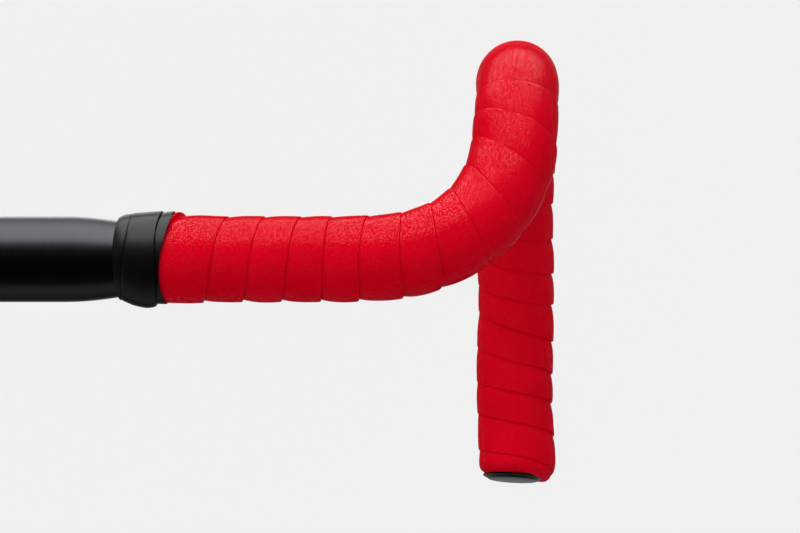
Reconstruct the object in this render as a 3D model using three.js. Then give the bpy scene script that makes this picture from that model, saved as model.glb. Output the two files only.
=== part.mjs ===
import * as THREE from 'three';
import { mergeVertices } from 'three/addons/utils/BufferGeometryUtils.js';

// Drop handlebar of a road bicycle, wrapped in handlebar tape. Millimetres, +Z up.
// +Y points to the front of the bicycle and +X to the rider's right. The origin is on the
// tube's axis, in the middle of the zone that the stem clamps.

// Tube
const clampDiameter = 31.8;
const clampZoneWidth = 74.6;
const taperLength = 41.8;
const gripDiameter = 23.8;
const tubeWall = 2.1;

// Bends of one half, from the middle outwards. Angles are in degrees.
const barWidth = 420; // centre to centre, at the ends of the drops
const sweepRadius = 333;
const sweepAngle = 4;
const bendRadius = 52.8;
const bendAngle = 83.7;
const rampSlope = 26; // how far the main bend's plane falls towards the front
const hookRadius = 42.8;
const hookAngle = 125.7;
const hookFlare = 3; // how far the hook leans outwards
const dropRadius = 202;
const dropAngle = 39.8;

// Handlebar tape, wound from the end of the bar towards the stem
const tapeThickness = 2.1;
const tapeWidth = 30;
const tapeOverlap = 15.4;
const tapeStart = 61; // from the middle of the bar to the tape's cut tail
const tailLength = 10; // the tail thickens from one layer to two over this length
const firstEdge = 0.35; // of a turn past the bar's front, where the first turn's edge starts
const turnStep = 0.7; // from one turn's edge down to the turn below it
const bendBuildUp = 0.6; // extra height where the turns crowd at the end of the main bend
const bendBuildUpReach = 32;
const lipRadius = 4.5;
const tuckThickness = 1.2; // the stretched tail inside the tube
const tuckDepth = 14;

// Finishing tape, three bands of one strip over the tape's tail
const finishStart = 55.3;
const finishEnd = 73.4;
const firstBand = 3.9;
const lastBand = 2.9;
const finishLayer = 0.5;

// End plug
const flangeDiameter = 25.1;
const flangeThickness = 1.5;
const faceDiameter = 20.8;
const faceRise = 0.4;
const plugWall = 1.8;
const plugLength = 24;
const plugChamfer = 1;

// Room between pieces that touch
const clearance = 0.3;

// Fineness of the surfaces
const sides = 16;
const arcSag = 0.2; // most that a straight edge between two rings may cut inside the arc
const taperRings = 6;
const lipSteps = 3;
const nearest = 0.6; // rings closer together than this are one ring

// Height of a turn across its width, as shares of the width and of the step
const turnProfile = [[0, 0], [0.5, 1], [1, 0.85]];

const colours = { tube: 0x1b1c20, tape: 0xcc0a1e, finish: 0x262626, plug: 0x1a1a1b };

// The centreline of one half: straight stretches and arcs, each starting where the last one ends
class BarLine {
  constructor() {
    this.stretches = [];
    this.length = 0;
    this.end = {
      point: new THREE.Vector3(),
      heading: new THREE.Vector3(1, 0, 0),
      front: new THREE.Vector3(0, 1, 0),
      top: new THREE.Vector3(0, 0, 1),
    };
  }

  add(stretch) {
    this.stretches.push({ ...stretch, start: this.length, from: this.end });
    this.length += stretch.length;
    this.end = this.at(this.length);
    return this;
  }

  straight(length) {
    return this.add({ length, angle: 0 });
  }

  bend(radius, degrees, towards) {
    const { heading, point } = this.end;
    const inward = towards.clone().addScaledVector(heading, -towards.dot(heading)).normalize();
    const centre = point.clone().addScaledVector(inward, radius);
    const axis = heading.clone().cross(inward);
    const angle = THREE.MathUtils.degToRad(degrees);
    return this.add({ length: radius * angle, angle, centre, axis });
  }

  // Point on the line and the tube's own directions there; beyond the last stretch it runs straight on
  at(distance) {
    const stretch = this.stretches.findLast((piece) => distance >= piece.start) ?? this.stretches[0];
    const { from, length } = stretch;
    const along = Math.min(distance - stretch.start, length);
    const turn = stretch.angle ? (stretch.angle * along) / length : 0;
    const turned = (vector) => (turn ? vector.clone().applyAxisAngle(stretch.axis, turn) : vector.clone());
    const heading = turned(from.heading);
    const point = turn
      ? turned(from.point.clone().sub(stretch.centre)).add(stretch.centre)
      : from.point.clone().addScaledVector(heading, stretch.angle ? 0 : along);
    point.addScaledVector(heading, distance - stretch.start - along);
    return { point, heading, front: turned(from.front), top: turned(from.top) };
  }

  bendsAfter(straightLength) {
    const slope = THREE.MathUtils.degToRad(rampSlope);
    const flare = THREE.MathUtils.degToRad(hookFlare);
    const forwards = new THREE.Vector3(0, Math.cos(slope), -Math.sin(slope));
    return this.straight(straightLength)
      .bend(sweepRadius, sweepAngle, forwards)
      .bend(bendRadius, bendAngle, forwards)
      .bend(hookRadius, hookAngle, new THREE.Vector3(Math.sin(flare), 0, -Math.cos(flare)))
      .bend(dropRadius, dropAngle, new THREE.Vector3(0, 0, 1));
  }
}

// The straight top is as long as the bends leave room for in the bar's width
const bendsWidth = new BarLine().bendsAfter(0).end.point.x;
const bar = new BarLine().bendsAfter(barWidth / 2 - bendsWidth);
const mainBendEnd = bar.stretches[3].start;

// Radii of the tube and height of the wrap, by the distance from the middle of the bar
const taperStart = clampZoneWidth / 2;

function tubeRadius(distance) {
  const along = THREE.MathUtils.clamp((distance - taperStart) / taperLength, 0, 1);
  const share = (1 + Math.cos(Math.PI * along)) / 2;
  return (gripDiameter + (clampDiameter - gripDiameter) * share) / 2;
}

function wrapHeight(distance) {
  const layers = 1 + THREE.MathUtils.clamp((distance - tapeStart) / tailLength, 0, 1);
  const fromBend = Math.min(Math.abs(distance - mainBendEnd) / bendBuildUpReach, 1);
  return tapeThickness * layers + bendBuildUp * Math.cos((Math.PI / 2) * fromBend) ** 2;
}

// Places along the bar where every piece has a ring, so that pieces that touch keep an even gap
const tuckBottom = bar.length - tuckDepth;
const ringPlaces = (() => {
  const places = [0, tapeStart, tapeStart + tailLength, tuckBottom];
  for (let ring = 0; ring <= taperRings; ring++) places.push(taperStart + (taperLength * ring) / taperRings);
  for (const { start, length, angle } of bar.stretches) {
    const steps = Math.max(1, Math.ceil(Math.sqrt((length * angle) / (8 * arcSag))));
    for (let step = 0; step <= steps; step++) places.push(start + (length * step) / steps);
  }
  places.sort((a, b) => a - b);
  return places.filter((place, index) => index === 0 || place - places[index - 1] > nearest);
})();

function ringsBetween(from, to) {
  return [from, ...ringPlaces.filter((place) => place > from + nearest && place < to - nearest), to];
}

// Keys from here on belong to points that run square to the bar and not along the wound turns
const plainKeys = 1e6;

// A closed solid around the bar. outlineAt(side) gives the closed outline in one lengthwise cut through
// the tube's axis, as { key, along, radius }: first the outside, away from the middle, then the inside
// back. Points with like keys on neighbouring cuts are joined. hand is 1 on the rider's right, -1 left.
function solidAround(outlineAt, hand = 1, keysPerTurn = 0) {
  const positions = [];
  const cuts = [];
  for (let side = 0; side < sides; side++) {
    const angle = (-2 * Math.PI * side) / sides;
    cuts.push(outlineAt(side).map(({ key, along, radius }) => {
      const { point, front, top } = bar.at(Math.abs(along));
      point.addScaledVector(front, radius * Math.cos(angle)).addScaledVector(top, radius * Math.sin(angle));
      positions.push(along * hand < 0 ? -point.x : point.x, point.y, point.z);
      return { key, vertex: positions.length / 3 - 1 };
    }));
  }
  const triangles = [];
  const face = (a, b, c) => triangles.push(...(hand > 0 ? [a, b, c] : [a, c, b]));
  cuts.forEach((cut, side) => {
    const last = side === sides - 1;
    const next = cuts[last ? 0 : side + 1];
    const nextKey = (place) => next[place].key - (last && next[place].key < plainKeys ? keysPerTurn : 0);
    let here = 0;
    let there = 0;
    while (here < cut.length - 1 || there < next.length - 1) {
      const moveHere = there === next.length - 1
        || (here < cut.length - 1 && cut[here + 1].key <= nextKey(there + 1));
      if (moveHere) face(cut[here].vertex, cut[++here].vertex, next[there].vertex);
      else face(cut[here].vertex, next[there + 1].vertex, next[there++].vertex);
    }
    face(cut[here].vertex, cut[0].vertex, next[there].vertex);
    face(cut[0].vertex, next[0].vertex, next[there].vertex);
  });
  const raw = new THREE.BufferGeometry();
  raw.setAttribute('position', new THREE.Float32BufferAttribute(positions, 3));
  raw.setIndex(triangles);
  const merged = mergeVertices(raw, 1e-4);
  const kept = [];
  for (let i = 0; i < merged.index.count; i += 3) {
    const corners = [0, 1, 2].map((corner) => merged.index.getX(i + corner));
    if (new Set(corners).size === 3) kept.push(...corners);
  }
  merged.setIndex(kept);
  merged.computeVertexNormals();
  return merged;
}

const plainOutline = (points) => points.map(([along, radius], index) => (
  { key: plainKeys + index, along, radius }
));

function pieceOf(name, geometry, colour, roughness, metalness = 0) {
  const mesh = new THREE.Mesh(geometry, new THREE.MeshStandardMaterial({ color: colour, roughness, metalness }));
  mesh.name = name;
  return mesh;
}

// Tube: one bent and tapered tube, open at both ends
function tubeGeometry() {
  const half = ringsBetween(0, bar.length);
  const rings = [...half.slice(1).reverse().map((place) => -place), ...half];
  const outside = rings.map((place) => [place, tubeRadius(Math.abs(place))]);
  const inside = rings.toReversed().map((place) => [place, tubeRadius(Math.abs(place)) - tubeWall]);
  const outline = plainOutline([...outside, ...inside]);
  return solidAround(() => outline);
}

// Handlebar tape: overlapping turns outside, rounded over the tube's end and tucked into it
const lipEnd = bar.length + clearance + tuckThickness;
const boreAtEnd = gripDiameter / 2 - tubeWall - clearance;
const lipFoot = flangeDiameter / 2 + clearance;

function woundPoints(side) {
  const pitch = tapeWidth - tapeOverlap;
  const until = lipEnd - lipRadius;
  const knots = turnProfile.length;
  const offset = side / sides + firstEdge;
  const radiusAt = (along, rise) => tubeRadius(along) + wrapHeight(along) - turnStep * (1 - rise);
  const clipped = (along) => {
    const turns = (along - tapeStart) / pitch - offset;
    const turn = Math.floor(turns);
    const share = turns - turn;
    const knot = turnProfile.findLastIndex(([width], index) => index < knots - 1 && share >= width);
    const [[fromShare, fromRise], [toShare, toRise]] = turnProfile.slice(knot, knot + 2);
    const part = (share - fromShare) / (toShare - fromShare);
    return {
      key: turn * knots + knot + part,
      along,
      radius: radiusAt(along, THREE.MathUtils.lerp(fromRise, toRise, part)),
    };
  };
  const points = [clipped(tapeStart)];
  const turnCount = Math.ceil((until - tapeStart) / pitch);
  for (let turn = -2; turn <= turnCount; turn++) {
    turnProfile.forEach(([width, rise], knot) => {
      const along = tapeStart + pitch * (turn + offset + width);
      if (along < tapeStart + nearest / 2 || along > until - nearest / 2) return;
      points.push({ key: turn * knots + knot, along, radius: radiusAt(along, rise) });
    });
  }
  points.push(clipped(until));
  return points;
}

function lipPoints() {
  const from = lipEnd - lipRadius;
  const top = tubeRadius(from) + wrapHeight(from) - turnStep / 2;
  const points = [];
  for (let step = 1; step <= lipSteps; step++) {
    const angle = (Math.PI / 2) * (step / lipSteps);
    points.push([from + lipRadius * Math.sin(angle), lipFoot + (top - lipFoot) * Math.cos(angle)]);
  }
  return points;
}

function tuckPoints() {
  const insideRadius = boreAtEnd - tuckThickness;
  const tuckRings = ringsBetween(tuckBottom, bar.length);
  const inwards = tuckRings.toReversed().map((place) => [place, insideRadius]);
  const outwards = tuckRings.slice(0, -1).map((place) => [place, boreAtEnd]);
  const overEnd = bar.length + clearance;
  return [
    [lipEnd, insideRadius],
    ...inwards,
    ...outwards,
    [bar.length, boreAtEnd],
    [overEnd, boreAtEnd],
    [overEnd, gripDiameter / 2 + clearance],
  ];
}

function tapeGeometry(hand) {
  const bore = ringsBetween(tapeStart, bar.length).reverse();
  const inside = bore.map((place) => [place, tubeRadius(place) + clearance]);
  const plain = plainOutline([...lipPoints(), ...tuckPoints(), ...inside]);
  return solidAround((side) => [...woundPoints(side), ...plain], hand, turnProfile.length);
}

// Finishing tape: a first band on the bare tube, the middle band over the tape's tail, a last band on the
// tape itself
function finishGeometry(hand) {
  const onTube = (along) => tubeRadius(along) + clearance;
  const onTape = (along) => tubeRadius(along) + wrapHeight(along) + clearance;
  const tail = tapeStart - clearance;
  const middle = finishStart + firstBand;
  const last = finishEnd - lastBand;
  const outside = [
    [finishStart, onTube(finishStart) + finishLayer / 2],
    [finishStart + finishLayer, onTube(finishStart) + finishLayer],
    [middle, onTube(middle) + finishLayer],
    [middle, onTube(middle) + 2 * finishLayer],
    ...ringsBetween(tail, last).map((along) => [along, onTape(Math.max(along, tapeStart)) + 2 * finishLayer]),
    [last, onTape(last) + finishLayer],
    [finishEnd, onTape(finishEnd) + finishLayer],
  ];
  const inside = [
    ...ringsBetween(tail, finishEnd).reverse().map((along) => [along, onTape(Math.max(along, tapeStart))]),
    ...ringsBetween(finishStart, tail).reverse().map((along) => [along, onTube(along)]),
  ];
  const outline = plainOutline([...outside, ...inside]);
  return solidAround(() => outline, hand);
}

// End plug: a flange with a slightly raised face, on a hollow shank that holds the tucked tape in the tube
function plugGeometry(hand) {
  const underside = lipEnd + clearance;
  const rim = underside + flangeThickness;
  const shankRadius = boreAtEnd - tuckThickness - clearance;
  const bottom = rim - plugLength;
  const shankRings = ringsBetween(bottom + plugChamfer, underside);
  const outline = plainOutline([
    [bottom, shankRadius - plugChamfer],
    ...shankRings.map((place) => [place, shankRadius]),
    [underside, flangeDiameter / 2],
    [rim, flangeDiameter / 2],
    [rim + faceRise, faceDiameter / 2],
    [rim + faceRise, 0],
    [underside, 0],
    ...shankRings.toReversed().map((place) => [place, shankRadius - plugWall]),
    [bottom, shankRadius - plugWall],
  ]);
  return solidAround(() => outline, hand);
}

const group = new THREE.Group();
group.add(pieceOf('handlebar', tubeGeometry(), colours.tube, 0.35, 0.2));
for (const [name, hand] of [['right', 1], ['left', -1]]) {
  group.add(pieceOf(`bar_tape_${name}`, tapeGeometry(hand), colours.tape, 0.6));
  group.add(pieceOf(`finishing_tape_${name}`, finishGeometry(hand), colours.finish, 0.5));
  group.add(pieceOf(`end_plug_${name}`, plugGeometry(hand), colours.plug, 0.4));
}

export default group;
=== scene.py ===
import math

import bmesh
import bpy
from mathutils import Matrix, Vector, noise


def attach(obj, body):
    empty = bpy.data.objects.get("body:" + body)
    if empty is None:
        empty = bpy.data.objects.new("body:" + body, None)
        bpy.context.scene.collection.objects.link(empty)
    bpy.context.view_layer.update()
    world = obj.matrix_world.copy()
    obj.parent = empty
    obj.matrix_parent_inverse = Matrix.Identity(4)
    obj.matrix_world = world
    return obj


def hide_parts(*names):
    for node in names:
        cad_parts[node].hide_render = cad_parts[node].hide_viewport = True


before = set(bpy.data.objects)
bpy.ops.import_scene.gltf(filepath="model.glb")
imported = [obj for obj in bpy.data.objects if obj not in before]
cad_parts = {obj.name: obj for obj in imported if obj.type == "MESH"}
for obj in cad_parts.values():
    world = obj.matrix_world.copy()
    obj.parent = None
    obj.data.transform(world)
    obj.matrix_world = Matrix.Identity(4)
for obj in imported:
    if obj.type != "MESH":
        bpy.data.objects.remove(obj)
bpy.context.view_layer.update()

# The handlebar: one aluminium tube, drawn down from the zone that the stem clamps to the
# thinner grips, bent cold and anodised black. Between the two finishing tapes it stays bare.
CLAMP_RADIUS, GRIP_RADIUS, TUBE_WALL = 15.9, 11.9, 2.1
CLAMP_ZONE_END, TAPER_LENGTH = 37.3, 41.8
BAR_END_X = 210
SWEEP_RADIUS, SWEEP_TURN = 333, 4
BEND_RADIUS, BEND_TURN, BEND_SLOPE = 52.8, 83.7, math.radians(26)
HOOK_RADIUS, HOOK_TURN, DROP_FLARE = 42.8, 125.7, math.radians(3)
DROP_RADIUS, DROP_TURN = 202, 39.8
TUBE_SIDES, RING_SPACING = 48, 4


class BarLine:
    """The middle line of one half, laid from the stem outwards in straights and arcs, in mm."""

    def __init__(self):
        self.stretches = []
        self.length = 0
        self.end = Matrix.Identity(4)

    def add(self, length, turn=0, centre=Vector(), axis=Vector((0, 0, 1))):
        self.stretches.append((self.length, length, self.end, turn, centre, axis))
        self.length += length
        self.end = self.at(self.length)

    def bend(self, radius, degrees, towards):
        inward = self.end.to_3x3().transposed() @ Vector(towards)
        inward.x = 0
        inward.normalize()
        turn = math.radians(degrees)
        self.add(radius * turn, turn, inward * radius, Vector((1, 0, 0)).cross(inward))

    def shape(self, straight):
        forwards = (0, math.cos(BEND_SLOPE), -math.sin(BEND_SLOPE))
        self.add(straight)
        self.bend(SWEEP_RADIUS, SWEEP_TURN, forwards)
        self.bend(BEND_RADIUS, BEND_TURN, forwards)
        self.bend(HOOK_RADIUS, HOOK_TURN, (math.sin(DROP_FLARE), 0, -math.cos(DROP_FLARE)))
        self.bend(DROP_RADIUS, DROP_TURN, (0, 0, 1))
        return self

    def at(self, distance):
        """Takes a place beside a straight tube to the same place beside the bent one."""
        reached = [stretch for stretch in self.stretches if distance >= stretch[0]]
        start, length, here, turn, centre, axis = (reached or self.stretches)[-1]
        along = min(distance - start, length)
        if turn:
            pivot = Matrix.Translation(centre)
            turned = Matrix.Rotation(turn * along / length, 4, axis)
            here = here @ pivot @ turned @ pivot.inverted()
            along = distance - start - along
        else:
            along = distance - start
        return here @ Matrix.Translation((along, 0, 0))


bar = BarLine().shape(BAR_END_X - BarLine().shape(0).end.translation.x)
main_bend, hook = bar.stretches[2], bar.stretches[3]


def part_way(place, start, length):
    """How far a place is through a stretch, from 0 up to its start to 1 from its end on."""
    return min(max((place - start) / length, 0), 1)


def tube_radius(distance):
    share = part_way(distance, CLAMP_ZONE_END, TAPER_LENGTH)
    return GRIP_RADIUS + (CLAMP_RADIUS - GRIP_RADIUS) * (1 + math.cos(math.pi * share)) / 2


def around(along, radius, angle):
    """A place on a straight tube along X: angle 0 is its front, a quarter turn on is its top."""
    return Vector((along, radius * math.cos(angle), radius * math.sin(angle)))


def grow(mesh, ring, outline):
    """Extrudes a ring of edges through the outline's places, each given as (along, radius)."""
    for place in outline:
        grown = bmesh.ops.extrude_edge_only(mesh, edges=ring)["geom"]
        ring = [part for part in grown
                if isinstance(part, bmesh.types.BMEdge) and part.is_boundary]
        for corner in (part for part in grown if isinstance(part, bmesh.types.BMVert)):
            angle = math.atan2(corner.co.z, corner.co.y)
            along, radius = place(angle) if callable(place) else place
            corner.co = around(along, radius, angle)
    return ring


def sleeve(outline, sides):
    """A closed sleeve around a straight tube, from its outside and then its inside."""
    mesh = bmesh.new()
    bmesh.ops.create_circle(mesh, segments=sides, radius=1)
    for corner in mesh.verts:
        angle = math.atan2(corner.co.y, corner.co.x)
        along, radius = outline[0](angle) if callable(outline[0]) else outline[0]
        corner.co = around(along, radius, angle)
    first = list(mesh.edges)
    last = grow(mesh, first, outline[1:])
    bmesh.ops.bridge_loops(mesh, edges=first + last)
    return mesh


def bend_onto_bar(mesh):
    for corner in mesh.verts:
        along, front, top = corner.co
        bent = bar.at(abs(along)) @ Vector((0, front, top))
        corner.co = (math.copysign(bent.x, along) if along else 0, bent.y, bent.z)


def piece(name, mesh, finish, sharp=40):
    """Turns a mesh in millimetres into an object in metres."""
    bmesh.ops.scale(mesh, verts=mesh.verts, vec=(0.001, 0.001, 0.001))
    bmesh.ops.recalc_face_normals(mesh, faces=mesh.faces)
    data = bpy.data.meshes.new(name)
    mesh.to_mesh(data)
    mesh.free()
    data.shade_smooth()
    data.set_sharp_from_angle(angle=math.radians(sharp))
    data.materials.append(finish)
    made = bpy.data.objects.new(name, data)
    bpy.context.scene.collection.objects.link(made)
    return made


def mirrored(mesh):
    """The same piece for the rider's left."""
    twin = mesh.copy()
    bmesh.ops.scale(twin, verts=twin.verts, vec=(-1, 1, 1))
    bmesh.ops.reverse_faces(twin, faces=twin.faces)
    return twin


def linear(colour):
    """An sRGB hex colour as the linear RGBA that the shaders take."""
    shares = (int(colour[i:i + 2], 16) / 255 for i in (1, 3, 5))
    return (*(v / 12.92 if v <= 0.04045 else ((v + 0.055) / 1.055) ** 2.4 for v in shares), 1)


def add_node(tree, kind, inputs=None, **settings):
    """Adds a node with its settings, and sets or links its inputs."""
    node = tree.nodes.new(kind)
    for name, value in settings.items():
        setattr(node, name, value)
    for name, value in (inputs or {}).items():
        if isinstance(value, bpy.types.NodeSocket):
            tree.links.new(value, node.inputs[name])
        else:
            node.inputs[name].default_value = value
    return node


def start_material(name):
    material = bpy.data.materials.new(name)
    material.use_nodes = True
    tree = material.node_tree
    place = add_node(tree, "ShaderNodeTexCoord").outputs["Object"]
    return material, tree, tree.nodes["Principled BSDF"], place


# Black anodised aluminium: a bare metal under a dyed oxide, so it only reflects, darkly, and has
# no colour of its own. Brushed before the bath, it has a soft gloss with 0.5 mm streaks.
anodised, tree, shader, place = start_material("black anodised aluminium")
streaks = add_node(tree, "ShaderNodeMapping", {"Vector": place, "Scale": (2000, 90, 90)})
brushing = add_node(tree, "ShaderNodeTexNoise",
                    {"Vector": streaks.outputs["Vector"], "Scale": 1, "Detail": 2})
dye = add_node(tree, "ShaderNodeValToRGB", {"Fac": brushing.outputs["Fac"]})
dye.color_ramp.elements[0].position, dye.color_ramp.elements[1].position = 0.3, 0.7
dye.color_ramp.elements[0].color = linear("#242426")
dye.color_ramp.elements[1].color = linear("#272729")
satin = add_node(tree, "ShaderNodeMapRange",
                 {"Value": brushing.outputs["Fac"], "To Min": 0.3, "To Max": 0.36})
tree.links.new(dye.outputs["Color"], shader.inputs["Base Color"])
tree.links.new(satin.outputs["Result"], shader.inputs["Roughness"])
shader.inputs["Metallic"].default_value = 1
shader.inputs["Specular Tint"].default_value = linear("#b0b0b0")

rings = [bar.length * step / round(bar.length / RING_SPACING)
         for step in range(round(bar.length / RING_SPACING) + 1)]
rings = [-distance for distance in reversed(rings[1:])] + rings
outside = [(distance, tube_radius(abs(distance))) for distance in rings]
inside = [(distance, radius - TUBE_WALL) for distance, radius in reversed(outside)]
tube = sleeve(outside + inside, TUBE_SIDES)
bend_onto_bar(tube)
handlebar = piece("bent_tube", tube, anodised)
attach(handlebar, "root")
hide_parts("handlebar")

# The bar tape: one strip of padded synthetic leather on each side, wound under tension from
# the bar's end to the stem. Each turn lies over half of the one before, and its cut edge
# faces the bar's end. The first end is folded over the tube's rim and tucked inside.
TAPE = 2.1
TAPE_START, TAIL_LENGTH = 61, 10
BEND_BUILD_UP, BEND_BUILD_UP_REACH = 0.25, 32
TAIL_BUILD_UP, TAIL_BUILD_UP_REACH, TAIL_BUILD_UP_AT = 0.4, 12, 84
# The tail stands up in a fold beside the finishing tape, which squeezes what is under it
TAIL_FOLD, FOLD_START, FOLD_RISE = 1.5, 74.5, 3
TAIL_SQUEEZE, SQUEEZE_END, SQUEEZE_FADE = 0.3, 73, 2
EDGE_STEP, EDGE_STEP_INWARDS, EDGE_FOOT, CREASE_DEPTH = 0.85, -0.25, 0.12, 0.04
EDGE_WAVER, WAVERS_PER_TURN = 0.25, 7
LUMP_HEIGHT, LUMP_SIZE = 0.16, 13
ROWS_PER_TURN = 80
# Where the edge crosses the outer side of the bar, turn by turn, and half a turn on its inner
# side. The turns that the camera doesn't see are spaced evenly.
OUTER = [56, 87.9, 102.4, 116.9, 131.6, 145, 159.9, 171.3, 186.5, 200.3, 213.9, 229.2, 247.9,
         269, 283, 297, 311, 325.5, 339.5, 352.9, 368.6, 383.7, 397.2, 412.7, 426.4, 438.6,
         452.3, 467, 479, 491]
INNER = [79.8, 97, 110.6, 124.1, 135.8, 149.8, 165.1, 180.9, 194.3, 211.4, 228.8, 241.2, 252.5,
         276, 290, 303, 317.5, 332, 346, 360, 374, 387.8, 399.4, 414.4, 429, 442.6, 457.8, 473,
         485]
# On the upper side, between the two, the edge lies closer to the stem than midway
UPPER_LEAD = [(60, 0.4), (130, 0.8), (160, 2.6), (190, 3.35), (206, 4.25), (221, 3.05), (235, 0.8),
              (250, 4.3), (275, 2.5), (290, 0)]
# Wound by hand, the wrap is a little thicker or thinner here and there: on the bar's inner
# side, on its outer side and over the outside of the hook
INNER_SWELL = [(172, 0), (184, -0.4), (192, -0.3), (198, 0), (210, 0.4), (228, 0.45), (238, 0),
               (246, -0.4), (257, -0.45), (268, 0), (380, 0), (390, -0.35), (401, -0.5), (408, 0),
               (420, 0.5), (436, 0.6), (448, 0.25), (460, 0)]
OUTER_SWELL = [(240, 0), (256, 0.3), (274, 0.33), (284, 0), (340, 0), (352, -0.5), (366, -0.4),
               (374, 0), (412, -0.1), (424, -0.4), (438, -0.85), (448, -0.5), (454, 0.1), (462, 0)]
HOOK_SWELL = [(248, 0), (260, 0.4), (284, 0.5), (300, 0)]
TURNS = len(OUTER) - 1
TWIST_IN_BEND, TWIST_IN_HOOK = math.radians(26), math.radians(31.7)
LIP_START, LIP_END, LIP_SPAN = bar.length - 3.9, bar.length + 1.5, 5
# The width of tape in the lip, how far the lip stands out and the radius of its bead's middle:
# each on the inner side of the bar, and by how much the outer side differs
LIP_TAPE, LIP_REACH, BEAD_MIDDLE = (4.7, 4.4), (3.7, 4.6), (14.2, -3.2)
TUCK_OUTER, TUCK_INNER, TUCK_START, TUCK_DEPTH = 9.5, 8.3, LIP_END - 1.2, 14
GAP = 0.3
# The plug that goes in last sits a little askew, deeper and further over on the inner side
FLANGE_UNDERSIDE, FLANGE_RADIUS = LIP_END + 0.3, 12.55
PLUG_TILT, PLUG_SHIFT = 0.07, 1.8


def inner_side(along):
    """The angle that faces the inside of the bends, which leave the tube's front behind."""
    in_bend, in_hook = part_way(along, *main_bend[:2]), part_way(along, *hook[:2])
    return -TWIST_IN_BEND * in_bend - (TWIST_IN_HOOK - TWIST_IN_BEND) * in_hook


def measured(profile, along):
    """Reads a profile of (along, value) at a place along the bar."""
    for (here, value), (there, next_value) in zip(profile, profile[1:]):
        if along <= there:
            return value + (next_value - value) * part_way(along, here, there - here)
    return profile[-1][1]


CROSSINGS = []
for whole, (outer, inner) in enumerate(zip(OUTER, INNER)):
    upper = (outer + inner) / 2
    for part, along in ((0, outer), (0.25, upper - measured(UPPER_LEAD, upper)), (0.5, inner)):
        CROSSINGS.append((whole + part - inner_side(along) / (2 * math.pi), along))
CROSSINGS.append((TURNS - inner_side(OUTER[-1]) / (2 * math.pi), OUTER[-1]))


def slope_at(index):
    """How fast the edge moves along the bar at a crossing, per turn."""
    (from_turn, here), (to_turn, there) = (
        CROSSINGS[max(index - 1, 0)], CROSSINGS[min(index + 1, len(CROSSINGS) - 1)])
    return (there - here) / (to_turn - from_turn)


def edge_at(turn):
    """Where the tape's edge is after so many turns from its tail."""
    index = max((i for i, crossing in enumerate(CROSSINGS[:-1]) if crossing[0] <= turn), default=0)
    (from_turn, here), (to_turn, there) = CROSSINGS[index:index + 2]
    span = to_turn - from_turn
    share = (turn - from_turn) / span
    if turn < CROSSINGS[0][0]:
        return here + (there - here) * share
    curve = ((2 * share ** 3 - 3 * share ** 2 + 1) * here
             + (3 * share ** 2 - 2 * share ** 3) * there
             + (share ** 3 - 2 * share ** 2 + share) * span * slope_at(index)
             + (share ** 3 - share ** 2) * span * slope_at(index + 1))
    return curve + EDGE_WAVER * noise.noise(Vector((turn * WAVERS_PER_TURN, 0.5, 0)))


def hump(place, middle, reach):
    """A smooth rise from 0 to 1 at the middle and back to 0."""
    return math.cos(math.pi / 2 * min(abs(place - middle) / reach, 1))


def wrap_radius(along, angle):
    """Radius of the wrap at the crown of a turn."""
    layers = 1 + part_way(along, TAPE_START, TAIL_LENGTH)
    build_up = (BEND_BUILD_UP * hump(along, hook[0], BEND_BUILD_UP_REACH) ** 2
                + TAIL_BUILD_UP * hump(along, TAIL_BUILD_UP_AT, TAIL_BUILD_UP_REACH) ** 2)
    inwards, over = math.cos(angle - inner_side(along)), math.sin(angle - inner_side(along))
    swell = (measured(INNER_SWELL if inwards > 0 else OUTER_SWELL, along) * inwards ** 2
             + measured(HOOK_SWELL, along) * max(over, 0) ** 2)
    return tube_radius(along) + TAPE * layers + build_up + swell


def edge_step(along, angle):
    """Height of the cut edge over the turn below it: the tape is pulled flatter on the inside."""
    return EDGE_STEP + EDGE_STEP_INWARDS * math.cos(angle - inner_side(along))


def crease(turn, angle):
    """The foot of the cut edge, where one turn goes under the next."""
    along = edge_at(turn)
    return along + EDGE_FOOT, wrap_radius(along, angle) - edge_step(along, angle) - CREASE_DEPTH


# Across one turn: shares of its width with the rise from its foot (0) to its crown (1), and
# then distances short of its edge with the drop, in shares of the step
TURN_RISE = [(0.01, 0.03), (0.04, 0.13), (0.09, 0.29), (0.15, 0.46), (0.22, 0.62),
             (0.3, 0.76), (0.4, 0.88), (0.5, 0.95), (0.6, 0.99), (0.7, 1), (0.8, 0.98),
             (0.88, 0.95)]
EDGE_ROUND = [(0.8, 0.1), (0.35, 0.16), (0.12, 0.3), (0, 0.6)]
COLUMNS = 2 + len(TURN_RISE) + len(EDGE_ROUND)


def turn_place(turn, column):
    """The place on the wound tape in a column across it, as (along, radius, angle)."""
    angle = math.pi - 2 * math.pi * turn
    if column == 0:
        return *crease(turn - 1, angle), angle
    if column == COLUMNS - 1:
        return *crease(turn, angle), angle
    foot, edge = edge_at(turn - 1), edge_at(turn)
    if column <= len(TURN_RISE):
        share, rise = TURN_RISE[column - 1]
        along = foot + (edge - foot) * share
        drop = 1 - rise
    else:
        short, drop = EDGE_ROUND[column - 1 - len(TURN_RISE)]
        along = edge - short
    radius = wrap_radius(along, angle) - edge_step(along, angle) * drop
    lumps = LUMP_HEIGHT * noise.noise(around(along, radius, angle) / LUMP_SIZE)
    if turn < 1:
        lumps += TAIL_FOLD * part_way(along, FOLD_START, FOLD_RISE) * hump(turn, 0.5, 0.25)
    lumps -= TAIL_SQUEEZE * (1 - part_way(along, SQUEEZE_END, SQUEEZE_FADE))
    return along, radius + lumps * (1 - drop), angle


def lip_fullness(angle):
    """How full the lip over the tube's end is: from 0 on the inner side to 1 on the outer."""
    return (1 - math.cos(angle - inner_side(bar.length))) / 2


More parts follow.
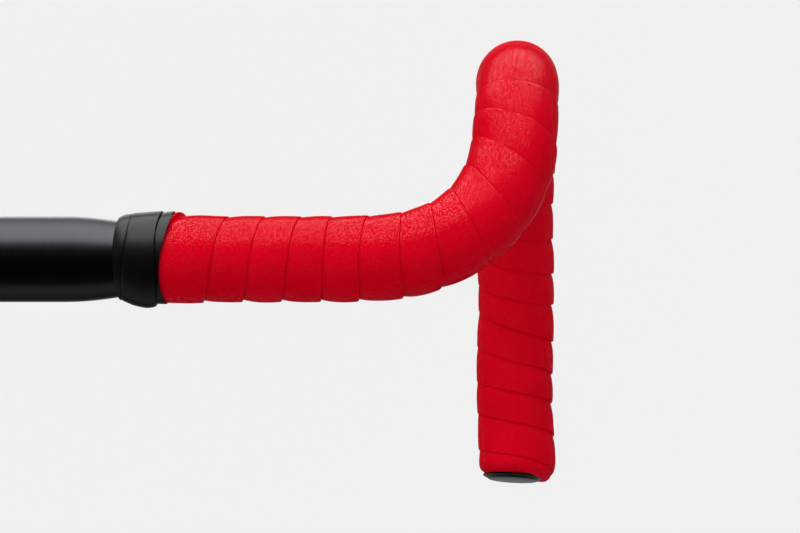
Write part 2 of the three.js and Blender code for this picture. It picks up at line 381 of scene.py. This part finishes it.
wrap = bmesh.new()
bmesh.ops.create_grid(wrap, x_segments=TURNS * ROWS_PER_TURN, y_segments=COLUMNS - 1, size=0.5)
for corner in wrap.verts:
    turn = round((corner.co.x + 0.5) * TURNS * ROWS_PER_TURN) / ROWS_PER_TURN
    along, radius, angle = turn_place(turn, round((corner.co.y + 0.5) * (COLUMNS - 1)))
    if along > LIP_START:
        in_lip = LIP_TAPE[0] + LIP_TAPE[1] * lip_fullness(angle)
        along = LIP_START + (along - LIP_START) * LIP_SPAN / in_lip
    corner.co = around(along, radius, angle)
bmesh.ops.remove_doubles(wrap, verts=wrap.verts, dist=0.002)
for distance, direction in ((TAPE_START, -1), (LIP_START + LIP_SPAN, 1)):
    bmesh.ops.bisect_plane(wrap, geom=[*wrap.verts, *wrap.edges, *wrap.faces], dist=1e-5,
                           plane_co=(distance, 0, 0), plane_no=(direction, 0, 0), clear_outer=True)


def under_flange(angle, inwards, below):
    """A place just under the plug's flange, which sits askew, and so far inside its rim."""
    inner = math.cos(angle - inner_side(bar.length))
    rim = FLANGE_RADIUS + PLUG_SHIFT * inner
    return FLANGE_UNDERSIDE - PLUG_TILT * rim * inner - below, rim - inwards


def boundary_beside(mesh, distance):
    return [edge for edge in mesh.edges if edge.is_boundary
            and all(abs(corner.co.x - distance) < 0.01 for corner in edge.verts)]


tail = boundary_beside(wrap, TAPE_START)
ring = boundary_beside(wrap, LIP_START + LIP_SPAN)

# Past the lip's start the wound tape rolls over the tube's end as a quarter of a soft bead, which
# is fuller on the outer side, where the tape was pulled round last. From its top the tape
# dips under the plug's flange and goes into the tube.
for corner in wrap.verts:
    if corner.co.x > LIP_START:
        rolled = math.pi / 2 * (corner.co.x - LIP_START) / LIP_SPAN
        angle = math.atan2(corner.co.z, corner.co.y)
        radius = math.hypot(corner.co.y, corner.co.z)
        reach = LIP_REACH[0] + LIP_REACH[1] * lip_fullness(angle) ** 1.6
        middle = BEAD_MIDDLE[0] + BEAD_MIDDLE[1] * lip_fullness(angle) ** 1.5
        corner.co = around(LIP_START + reach * math.sin(rolled),
                           middle + (radius - middle) * math.cos(rolled), angle)
inward = [TUCK_START - TUCK_DEPTH * step / 4 for step in range(5)]
from_bore = [distance for distance in rings if TAPE_START + 1 < distance < bar.length - 1]
ring = grow(wrap, ring, [
    lambda angle: under_flange(angle, 0.7, -0.15), lambda angle: under_flange(angle, 1.4, 0.15),
    (LIP_END - 0.2, TUCK_INNER + 1), (LIP_END - 0.5, TUCK_INNER + 0.3),
    *((place, TUCK_INNER) for place in inward),
    *((place, TUCK_OUTER) for place in reversed(inward[1:])), (bar.length + GAP, TUCK_OUTER),
    (bar.length + GAP, GRIP_RADIUS + GAP),
    *((place, tube_radius(place) + GAP) for place in reversed(from_bore)),
    (TAPE_START, tube_radius(TAPE_START) + GAP)])
bmesh.ops.bridge_loops(wrap, edges=tail + ring)
bend_onto_bar(wrap)

# Red synthetic leather: polyurethane skin on foam, embossed with a fine pebble about 0.7 mm
# apart and dyed a little unevenly. Only the tops of the pebbles glint, and not when seen edge
# on, so the grain shows where the light falls on it and the rest looks matt and smooth.
leather, tree, shader, place = start_material("red pebbled polyurethane leather")
pebbles = add_node(tree, "ShaderNodeTexVoronoi", {"Vector": place, "Scale": 1400})
wrinkles = add_node(tree, "ShaderNodeTexNoise",
                    {"Vector": place, "Scale": 1500, "Detail": 1, "Roughness": 0.5})
grain = add_node(tree, "ShaderNodeMath", operation="MULTIPLY_ADD",
                 inputs={0: wrinkles.outputs["Fac"], 1: 0.3, 2: pebbles.outputs["Distance"]})
glint = add_node(tree, "ShaderNodeMapRange", {
    "Value": grain.outputs["Value"], "From Min": 0.35, "From Max": 0.75,
    "To Min": 0.105, "To Max": 0.008})
edge_on = add_node(tree, "ShaderNodeLayerWeight", {"Blend": 0.5})
fade = add_node(tree, "ShaderNodeMapRange", {
    "Value": edge_on.outputs["Facing"], "From Min": 0.08, "From Max": 0.7,
    "To Min": 1, "To Max": 0.03})
gloss = add_node(tree, "ShaderNodeMath", {0: glint.outputs["Result"], 1: fade.outputs["Result"]},
                 operation="MULTIPLY")
bump = add_node(tree, "ShaderNodeBump", {
    "Height": grain.outputs["Value"], "Strength": 0.45, "Distance": 0.00012}, invert=True)
shade = add_node(tree, "ShaderNodeTexNoise", {"Vector": place, "Scale": 60, "Detail": 3})
dye = add_node(tree, "ShaderNodeValToRGB", {"Fac": shade.outputs["Fac"]})
dye.color_ramp.elements[0].position, dye.color_ramp.elements[1].position = 0.35, 0.65
dye.color_ramp.elements[0].color = linear("#e0001c")
dye.color_ramp.elements[1].color = linear("#e70020")
tree.links.new(dye.outputs["Color"], shader.inputs["Base Color"])
tree.links.new(gloss.outputs["Value"], shader.inputs["Specular IOR Level"])
tree.links.new(bump.outputs["Normal"], shader.inputs["Normal"])
shader.inputs["Roughness"].default_value = 0.26

left_wrap = mirrored(wrap)
for mesh, side in ((wrap, "right"), (left_wrap, "left")):
    tape = piece(f"wound_tape_{side}", mesh, leather, sharp=50)
    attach(tape, "root")
    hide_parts(f"bar_tape_{side}")

# The finishing tape: a strip of thin black vinyl on each side, stretched round the tape's
# tail and the bare tube in three bands, so that each band's edge shows as a thin line.
BAND_SIDES = 96
# The strip's radius along the bar's front and along its back. The last band lies on the soft
# tape alone, and has its own radius at its start and its own rise to its end.
FRONT = [(54.5, 14.75), (55.6, 14.8), (56.6, 15.4), (57.9, 16.3), (60, 16.8), (62.9, 17.2),
         (67.8, 17.6), (72.6, 17.95), (79, 18.1)]
BACK = [(54.5, 14.75), (56.2, 14.75), (57.9, 15.4), (61.8, 17.1), (65, 17.9), (67.2, 18.2),
        (69.3, 17.9), (70.5, 17.5), (79, 17.1)]
LAST_FRONT, LAST_BACK = (17.4, 0.5), (16.6, 0.1)


def band_edges(angle):
    """The right strip's end beside the stem, its two lines and its outer end, each slanting."""
    front, twice, thrice = math.cos(angle), math.cos(2 * angle), math.cos(3 * angle)
    return (56.15 - 0.15 * front + 0.55 * twice, 59.7 + 1.9 * front + 0.2 * twice,
            71.43 + 0.71 * front + 0.14 * twice + 0.55 * thrice,
            74.5 + 1.66 * front + 1.35 * twice - 0.22 * thrice)


def band_place(band, share, drop, angle):
    edges = band_edges(angle)
    along = edges[band] + (edges[band + 1] - edges[band]) * share
    back = (1 - math.cos(angle)) / 2
    in_front, behind = measured(FRONT, along), measured(BACK, along)
    if band == 2:
        in_front, behind = (start + rise * share for start, rise in (LAST_FRONT, LAST_BACK))
    return along, in_front * (1 - back) + behind * back - drop


def band(number, shares_and_drops):
    return [lambda angle, share=share, drop=drop: band_place(number, share, drop, angle)
            for share, drop in shares_and_drops]


finish_outside = [
    *band(0, [(0, 0.3), (0.03, 0.06), (0.1, 0), (0.4, 0), (0.7, 0.08), (0.93, 0.15),
              (0.98, 0.35)]),
    *band(1, [(0, 0.1), (0.015, 0), *((tenth / 10, 0) for tenth in range(1, 10)), (0.97, 0),
              (0.99, 0.06), (1, 0.25)]),
    *band(2, [(0.01, 0.12), (0.06, 0.05), (0.2, 0), (0.5, 0), (0.8, 0), (0.95, 0),
              (0.99, 0.08), (1, 0.3)])]
finish_inside = [
    lambda angle: (band_edges(angle)[3] - 0.2, band_place(2, 1, 0.4, angle)[1]),
    lambda angle: (70, wrap_radius(70, angle) + 0.12),
    (TAPE_START - GAP, wrap_radius(TAPE_START, 0) + 0.12),
    (TAPE_START - GAP, tube_radius(TAPE_START - GAP) + GAP / 2),
    lambda angle: (band_edges(angle)[0], tube_radius(band_edges(angle)[0]) + 0.05)]
finish = sleeve(finish_outside + finish_inside, BAND_SIDES)
bend_onto_bar(finish)

# Black plasticised vinyl, cast smooth and stretched as it is wound: a soft sheen, with fine
# pull lines about 1.5 mm apart round the bar
vinyl, tree, shader, place = start_material("black stretched vinyl")
pulled = add_node(tree, "ShaderNodeMapping", {"Vector": place, "Scale": (650, 60, 60)})
lines = add_node(tree, "ShaderNodeTexNoise",
                 {"Vector": pulled.outputs["Vector"], "Scale": 1, "Detail": 3})
tone = add_node(tree, "ShaderNodeValToRGB", {"Fac": lines.outputs["Fac"]})
tone.color_ramp.elements[0].position, tone.color_ramp.elements[1].position = 0.3, 0.7
tone.color_ramp.elements[0].color = linear("#060606")
tone.color_ramp.elements[1].color = linear("#0a0a0a")
edge_on = add_node(tree, "ShaderNodeLayerWeight", {"Blend": 0.5})
gloss = add_node(tree, "ShaderNodeMapRange", {
    "Value": edge_on.outputs["Facing"], "From Min": 0.08, "From Max": 0.62,
    "To Min": 0.13, "To Max": 0.004})
sheen = add_node(tree, "ShaderNodeMapRange",
                 {"Value": lines.outputs["Fac"], "To Min": 0.34, "To Max": 0.42})
pull = add_node(tree, "ShaderNodeBump",
                {"Height": lines.outputs["Fac"], "Strength": 0.25, "Distance": 0.0001})
tree.links.new(tone.outputs["Color"], shader.inputs["Base Color"])
tree.links.new(sheen.outputs["Result"], shader.inputs["Roughness"])
tree.links.new(gloss.outputs["Result"], shader.inputs["Specular IOR Level"])
tree.links.new(pull.outputs["Normal"], shader.inputs["Normal"])

left_finish = mirrored(finish)
strips = []
for mesh, side in ((finish, "right"), (left_finish, "left")):
    strip = piece(f"vinyl_strip_{side}", mesh, vinyl, sharp=35)
    strips.append(strip)
    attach(strip, "root")
    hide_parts(f"finishing_tape_{side}")

# The end plug: a moulded plastic plug pushed into each end of the bar. Its hollow shank holds
# the tucked tape, and its thin flange covers the hole and presses into the tape's lip.
FLANGE_RIM = FLANGE_UNDERSIDE + 1.5
FACE_RADIUS, FACE_RISE = 10.4, 0.4
SHANK_RADIUS, SHANK_WALL, PLUG_LENGTH = 6.4, 1.8, 24
profile = [(FLANGE_RIM + FACE_RISE, 0), (FLANGE_RIM + FACE_RISE, FACE_RADIUS - 0.5),
           (FLANGE_RIM + FACE_RISE - 0.1, FACE_RADIUS - 0.1), (FLANGE_RIM, FACE_RADIUS + 0.2),
           (FLANGE_RIM - 0.9, FLANGE_RADIUS - 0.1), (FLANGE_RIM - 1.1, FLANGE_RADIUS),
           (FLANGE_UNDERSIDE + 0.2, FLANGE_RADIUS),
           (FLANGE_UNDERSIDE, FLANGE_RADIUS - 0.2), (FLANGE_UNDERSIDE, SHANK_RADIUS),
           (FLANGE_RIM - PLUG_LENGTH + 1, SHANK_RADIUS),
           (FLANGE_RIM - PLUG_LENGTH, SHANK_RADIUS - 1),
           (FLANGE_RIM - PLUG_LENGTH, SHANK_RADIUS - SHANK_WALL),
           (FLANGE_UNDERSIDE, SHANK_RADIUS - SHANK_WALL), (FLANGE_UNDERSIDE, 0)]
plug = bmesh.new()
corners = [plug.verts.new((along, radius, 0)) for along, radius in profile]
for here, there in zip(corners, corners[1:]):
    plug.edges.new((here, there))
bmesh.ops.spin(plug, geom=[*plug.verts, *plug.edges], axis=(1, 0, 0), cent=(0, 0, 0),
               angle=2 * math.pi, steps=96, use_merge=True)
bmesh.ops.remove_doubles(plug, verts=plug.verts, dist=1e-4)
inner = around(0, 1, inner_side(bar.length))
for corner in plug.verts:
    corner.co.x -= PLUG_TILT * corner.co.dot(inner)
bmesh.ops.translate(plug, verts=plug.verts, vec=inner * PLUG_SHIFT)
bend_onto_bar(plug)

# Black nylon, moulded in a polished tool: smooth with a faint gloss, slightly uneven every 4 mm
# or so where it sank while cooling
nylon, tree, shader, place = start_material("black moulded nylon")
sink = add_node(tree, "ShaderNodeTexNoise", {"Vector": place, "Scale": 250, "Detail": 2})
tint = add_node(tree, "ShaderNodeValToRGB", {"Fac": sink.outputs["Fac"]})
tint.color_ramp.elements[0].position, tint.color_ramp.elements[1].position = 0.3, 0.7
tint.color_ramp.elements[0].color = linear("#030303")
tint.color_ramp.elements[1].color = linear("#060606")
gloss = add_node(tree, "ShaderNodeMapRange",
                 {"Value": sink.outputs["Fac"], "To Min": 0.34, "To Max": 0.44})
tree.links.new(tint.outputs["Color"], shader.inputs["Base Color"])
tree.links.new(gloss.outputs["Result"], shader.inputs["Roughness"])
shader.inputs["Specular IOR Level"].default_value = 0.05

left_plug = mirrored(plug)
for mesh, side in ((plug, "right"), (left_plug, "left")):
    stopper = piece(f"plug_{side}", mesh, nylon, sharp=35)
    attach(stopper, "root")
    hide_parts(f"end_plug_{side}")

# The studio: a pale floor well below the bar, which hangs in its stem, and a low wall of the same
# tone all round, which lets the lamps' light through. The camera looks straight down, and three
# wide soft lamps light the bar: a strong one in front and a weaker one on either side.
FLOOR_HEIGHT, FLOOR_SIZE, FLOOR_GLOW = -0.42, 40, 0.82
WALL_HEIGHT, WALL_INSET, WALL_GLOW = 5, 0.1, 1


def backdrop_material(name, colour, glow):
    """Pale to the camera and in gloss and glass, and plain in colour to all other light."""
    material, tree, shader, _ = start_material(name)
    shader.inputs["Base Color"].default_value = linear(colour)
    shader.inputs["Roughness"].default_value = 0.9
    shader.inputs["Specular IOR Level"].default_value = 0
    shader.inputs["Emission Color"].default_value = linear("#f0f0f0")
    rays = add_node(tree, "ShaderNodeLightPath").outputs
    reflected = add_node(tree, "ShaderNodeMath", operation="MAXIMUM",
                         inputs={0: rays["Is Glossy Ray"], 1: rays["Is Transmission Ray"]})
    seen = add_node(tree, "ShaderNodeMath", operation="MAXIMUM",
                    inputs={0: rays["Is Camera Ray"], 1: reflected.outputs["Value"]})
    lit = add_node(tree, "ShaderNodeMath", operation="MULTIPLY",
                   inputs={0: seen.outputs["Value"], 1: glow})
    tree.links.new(lit.outputs["Value"], shader.inputs["Emission Strength"])
    return material


def backdrop(name, mesh, finish):
    data = bpy.data.meshes.new(name)
    mesh.to_mesh(data)
    mesh.free()
    data.materials.append(finish)
    made = bpy.data.objects.new(name, data)
    bpy.context.scene.collection.objects.link(made)
    return made


at_floor = Matrix.Translation((0, 0, FLOOR_HEIGHT))
floor_mesh = bmesh.new()
bmesh.ops.create_grid(floor_mesh, x_segments=1, y_segments=1, size=FLOOR_SIZE / 2,
                      matrix=at_floor)
backdrop("floor", floor_mesh, backdrop_material("pale seamless paper", "#808080", FLOOR_GLOW))

wall_mesh = bmesh.new()
bmesh.ops.create_circle(wall_mesh, segments=96, radius=FLOOR_SIZE / 2 - WALL_INSET,
                        matrix=at_floor)
raised = bmesh.ops.extrude_edge_only(wall_mesh, edges=wall_mesh.edges)["geom"]
bmesh.ops.translate(wall_mesh, vec=(0, 0, WALL_HEIGHT),
                    verts=[part for part in raised if isinstance(part, bmesh.types.BMVert)])
wall = backdrop("wall", wall_mesh,
                backdrop_material("pale lit backdrop cloth", "#000000", WALL_GLOW))
wall.visible_shadow = wall.visible_diffuse = False

world = bpy.data.worlds.new("studio")
bpy.context.scene.world = world
world.use_nodes = True
tree = world.node_tree
direction = add_node(tree, "ShaderNodeTexCoord").outputs["Generated"]
height = add_node(tree, "ShaderNodeSeparateXYZ", {"Vector": direction}).outputs["Z"]
room = add_node(tree, "ShaderNodeValToRGB", {"Fac": height})
room.color_ramp.elements[0].position, room.color_ramp.elements[1].position = 0.0, 0.9
room.color_ramp.elements[0].color = (0.13, 0.13, 0.13, 1)
room.color_ramp.elements[1].color = (0.03, 0.03, 0.03, 1)
tree.links.new(room.outputs["Color"], tree.nodes["Background"].inputs["Color"])


def soft_sun(name, towards, strength, spread):
    """A wide lamp far away, which doesn't show in the gloss."""
    data = bpy.data.lights.new(name, "SUN")
    data.energy, data.angle = strength, math.radians(spread)
    lamp = bpy.data.objects.new(name, data)
    lamp.rotation_euler = Vector(towards).to_track_quat("Z", "Y").to_euler()
    lamp.visible_glossy = False
    bpy.context.scene.collection.objects.link(lamp)


soft_sun("front_panel", (-0.1, 0.95, 0.26), 1.95, 50)
soft_sun("left_tent", (-0.82, 0.05, 0.57), 1.58, 110)
soft_sun("right_tent", (0.78, -0.2, 0.58), 1.12, 110)


def gloss_light(name, width, height, middle, away):
    """A white panel that shows in the gloss and lights nothing else."""
    data = bpy.data.lights.new(name, "AREA")
    data.shape, data.size, data.size_y = "RECTANGLE", width, height
    data.energy = PANEL_GLOW * math.pi * width * height
    panel = bpy.data.objects.new(name, data)
    panel.location = middle
    panel.rotation_euler = Vector(away).to_track_quat("Z", "Y").to_euler()
    panel.visible_diffuse = panel.visible_camera = False
    bpy.context.scene.collection.objects.link(panel)
    return panel


# The front panel as it shows in the gloss: a tall white screen on the floor, and a white card
# before its foot, which takes the highlight of the tube and the vinyl round to their front
PANEL_GLOW, PANEL_LIFT = 9, 0.02
SCREEN_SIZE, SCREEN_PLACE = 0.8, (0.15, 0.42)
CARD_WIDTH, CARD_DEPTH, CARD_PLACE = 0.46, 0.28, (-0.15, 0.28)
gloss_light("front_screen", SCREEN_SIZE, SCREEN_SIZE,
            (*SCREEN_PLACE, FLOOR_HEIGHT + PANEL_LIFT + SCREEN_SIZE / 2), (0, 1, 0))
card = gloss_light("floor_card", CARD_WIDTH, CARD_DEPTH,
                   (*CARD_PLACE, FLOOR_HEIGHT + PANEL_LIFT), (0, 0, -1))
card.light_linking.receiver_collection = bpy.data.collections.new("tube_and_vinyl")
for shown in (handlebar, *strips):
    card.light_linking.receiver_collection.objects.link(shown)

camera_data = bpy.data.cameras.new("camera")
camera_data.lens, camera_data.sensor_width, camera_data.sensor_fit = 112.9, 36, "HORIZONTAL"
camera_data.clip_end = 100
camera = bpy.data.objects.new("camera", camera_data)
camera.location = (0.1609, -0.002694, 0.932)
bpy.context.scene.collection.objects.link(camera)
bpy.context.scene.camera = camera
bpy.context.scene.view_settings.view_transform = "Standard"
